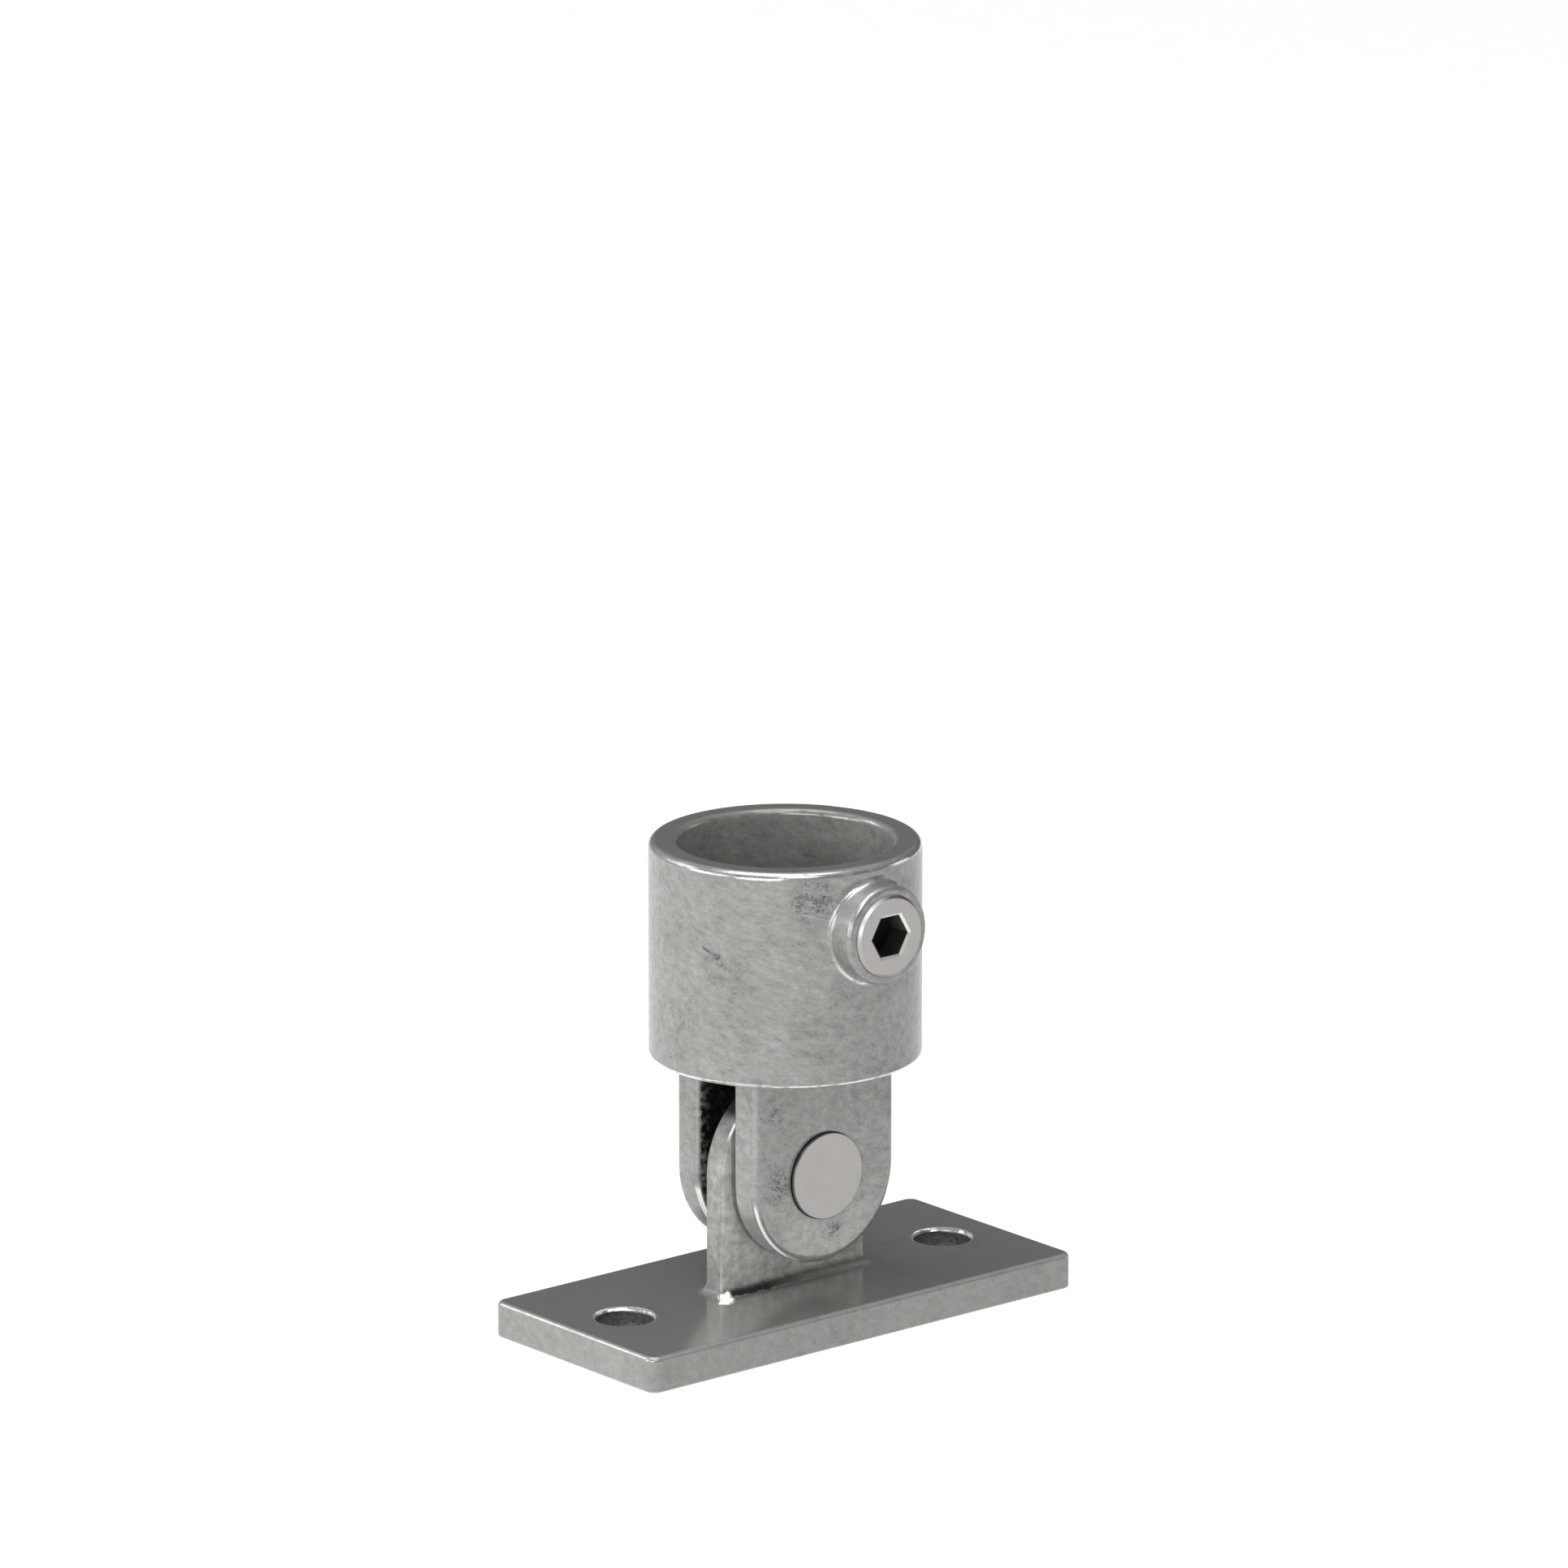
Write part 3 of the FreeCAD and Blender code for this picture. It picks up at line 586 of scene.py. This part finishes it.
# The part of half a pitch that is flat, once at the crest and once at the root
THREAD_FLAT = 0.08
STEPS_PER_TURN = 12
KEY_WIDTH = 8.2
KEY_DEPTH = 5.5
KEY_DRILL = 1.4
MOUTH_CHAMFER = 0.45
FACE_CHAMFER = 0.5
POINT_CHAMFER = 1.3
CUP_RADIUS = 5.5
CUP_DEPTH = 2.2
DRILL_RADIUS = KEY_WIDTH / 2 - 0.02
SHARP_ANGLE = math.radians(28.0)


def hexagon(width):
    """The radius of a hexagon with corners at 0, 60, 120 degrees and so on."""
    def radius(angle):
        part = math.radians((math.degrees(angle) + 30.0) % 60.0 - 30.0)
        return width / 2 / math.cos(math.radians(30.0) - abs(part))
    return radius


def circle(size):
    return lambda angle: size


def thread(level):
    """The radius of the threaded shank at a level above the point, for each angle."""
    ends = min(1.0, (level - THREAD_START) / THREAD_PITCH * 2, (THREAD_END - level) / THREAD_PITCH * 2)
    depth = THREAD_DEPTH * max(0.0, ends)

    def radius(angle):
        turn = (level / THREAD_PITCH - angle / (2 * math.pi)) % 1.0
        wave = abs(2 * turn - 1)
        flank = min(1.0, max(0.0, (wave - THREAD_FLAT) / (1 - 2 * THREAD_FLAT)))
        return SCREW_RADIUS - depth * flank
    return radius


def screw_rings():
    """Each ring's level above the point, and its radius for each angle."""
    count = round((THREAD_END - THREAD_START) / THREAD_PITCH * STEPS_PER_TURN)
    levels = [THREAD_START + (THREAD_END - THREAD_START) * step / count for step in range(1, count)]
    face = SCREW_LENGTH
    return [
        (CUP_DEPTH, circle(0.0)),
        (0.0, circle(CUP_RADIUS)),
        (0.0, circle(SCREW_RADIUS - POINT_CHAMFER)),
        (POINT_CHAMFER, circle(SCREW_RADIUS)),
        *((level, thread(level)) for level in levels),
        (THREAD_END, circle(SCREW_RADIUS)),
        (face - FACE_CHAMFER, circle(SCREW_RADIUS)),
        (face, circle(SCREW_RADIUS - FACE_CHAMFER)),
        (face, hexagon(KEY_WIDTH + 2 * MOUTH_CHAMFER)),
        (face - MOUTH_CHAMFER, hexagon(KEY_WIDTH)),
        (face - KEY_DEPTH, hexagon(KEY_WIDTH)),
        (face - KEY_DEPTH, circle(DRILL_RADIUS)),
        (face - KEY_DEPTH - KEY_DRILL, circle(0.0)),
    ]


def ring_points(mesh, level, radius):
    """The points of one ring, or a single point where the ring has no size."""
    depth = (SCREW_POINT - level) * MM
    if radius(0.0) == 0.0:
        return [mesh.verts.new((0.0, depth, SCREW_HEIGHT * MM))]
    points = []
    for side in range(SIDES):
        angle = 2 * math.pi * side / SIDES
        aside = radius(angle) * math.cos(angle)
        height = SCREW_HEIGHT + radius(angle) * math.sin(angle)
        points.append(mesh.verts.new((aside * MM, depth, height * MM)))
    return points


def join_rings(mesh, lower, upper):
    for side in range(SIDES):
        following = (side + 1) % SIDES
        if len(lower) == 1:
            corners = (lower[0], upper[side], upper[following])
        elif len(upper) == 1:
            corners = (lower[side], lower[following], upper[0])
        else:
            corners = (lower[side], lower[following], upper[following], upper[side])
        mesh.faces.new(corners)


def make_screw():
    mesh = bmesh.new()
    rows = [ring_points(mesh, level, radius) for level, radius in screw_rings()]
    for lower, upper in zip(rows, rows[1:]):
        join_rings(mesh, lower, upper)
    bmesh.ops.recalc_face_normals(mesh, faces=mesh.faces)
    for face in mesh.faces:
        face.smooth = True
    data = finished_mesh("threaded_screw", mesh)
    data.set_sharp_from_angle(angle=SHARP_ANGLE)
    data.materials.append(turned_steel("steel_screw", SCREW_HEIGHT, screw_side))
    return add_object("threaded_screw", data)


screw = make_screw()
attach(screw, "screw")
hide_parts("set_screw")


# Floor: pale and plain. It shows white to the camera and in the metal, and keeps the shadow.
FLOOR_HALF = 12.0
FLOOR_GLOW = 0.88


def floor_material():
    material = bpy.data.materials.new("floor_white")
    nodes = Nodes(material)
    place = nodes.add("ShaderNodeTexCoord").outputs["Object"]
    color = nodes.ramp(nodes.noise(place, 90.0, detail=3.0), [(0.3, grey(0.29)), (0.7, grey(0.31))])
    rays = nodes.add("ShaderNodeLightPath").outputs
    seen = nodes.most(rays["Is Camera Ray"], rays["Is Glossy Ray"], rays["Is Transmission Ray"])
    glow = nodes.add("ShaderNodeEmission", {"Color": grey(1.0), "Strength": nodes.times(seen, FLOOR_GLOW)})
    matt = nodes.add("ShaderNodeBsdfDiffuse", {"Color": color})
    both = nodes.add("ShaderNodeAddShader", {0: glow.outputs[0], 1: matt.outputs[0]})
    nodes.add("ShaderNodeOutputMaterial", {"Surface": both.outputs[0]})
    return material


def make_floor():
    mesh = bmesh.new()
    corners = [(-1, -1), (1, -1), (1, 1), (-1, 1)]
    mesh.faces.new([mesh.verts.new((x * FLOOR_HALF, y * FLOOR_HALF, 0.0)) for x, y in corners])
    data = finished_mesh("floor", mesh)
    data.materials.append(floor_material())
    return add_object("floor", data)


make_floor()


# Light: a grey studio with soft boxes
TARGET = Vector((0.0, 0.0, 50.0)) * MM


def soft_box(name, azimuth, elevation, distance, width, height, strength):
    """An area lamp that faces the object. Azimuth 0 is along +Y, 90 along +X. Strength 1 is white."""
    turn = math.radians(azimuth)
    rise = math.radians(elevation)
    away = Vector((math.sin(turn) * math.cos(rise), math.cos(turn) * math.cos(rise), math.sin(rise)))
    data = bpy.data.lights.new(name, "AREA")
    data.shape = "RECTANGLE"
    data.size = width
    data.size_y = height
    data.energy = strength * math.pi * width * height
    lamp = add_object(name, data)
    lamp.location = TARGET + away * distance
    lamp.rotation_euler = away.to_track_quat("Z", "Y").to_euler()
    lamp.visible_camera = False


soft_box("front_left_key", 238.0, 9.0, 2.0, 1.3, 0.8, 3.1)
soft_box("left_fill", 288.0, 10.0, 2.0, 1.2, 0.9, 2.85)
soft_box("right_rim", 108.0, 10.0, 2.2, 0.8, 0.8, 1.0)
soft_box("back_left", 328.0, 26.0, 2.0, 0.9, 0.9, 2.6)
soft_box("high_front", 207.0, 43.0, 2.0, 0.8, 0.6, 2.6)
soft_box("overhead", 250.0, 83.0, 1.6, 1.5, 1.3, 1.3)


def make_studio():
    world = bpy.data.worlds.new("studio")
    nodes = Nodes(world)
    height = nodes.parts(nodes.add("ShaderNodeTexCoord").outputs["Generated"])["Z"]
    level = nodes.spread(height, -0.2, 1.0)
    color = nodes.ramp(level, [(0.0, grey(0.16)), (0.38, grey(0.08)), (0.8, grey(0.24))])
    background = nodes.add("ShaderNodeBackground", {"Color": color, "Strength": 1.0})
    nodes.add("ShaderNodeOutputWorld", {"Surface": background.outputs[0]})
    return world


bpy.context.scene.world = make_studio()


# Camera, at the photo's viewpoint
CAMERA_PLACE = Vector((-1399.5, -1674.2, 696.0)) * MM
CAMERA_AZIMUTH = math.radians(39.886)
CAMERA_ELEVATION = math.radians(15.0)
SENSOR_WIDTH = 36.0
LENS_LENGTH = 257.3
FAR_LIMIT = 60.0


def make_camera():
    data = bpy.data.cameras.new("photo_camera")
    data.sensor_width = SENSOR_WIDTH
    data.lens = LENS_LENGTH
    data.clip_end = FAR_LIMIT
    right = Vector((math.cos(CAMERA_AZIMUTH), -math.sin(CAMERA_AZIMUTH), 0.0))
    level = math.cos(CAMERA_ELEVATION)
    ahead = Vector((
        math.sin(CAMERA_AZIMUTH) * level, math.cos(CAMERA_AZIMUTH) * level, -math.sin(CAMERA_ELEVATION),
    ))
    up = right.cross(ahead)
    turn = Matrix((right, up, -ahead)).transposed()
    camera = add_object("photo_camera", data)
    camera.matrix_world = Matrix.Translation(CAMERA_PLACE) @ turn.to_4x4()
    return camera


bpy.context.scene.camera = make_camera()
bpy.context.scene.view_settings.view_transform = "Standard"
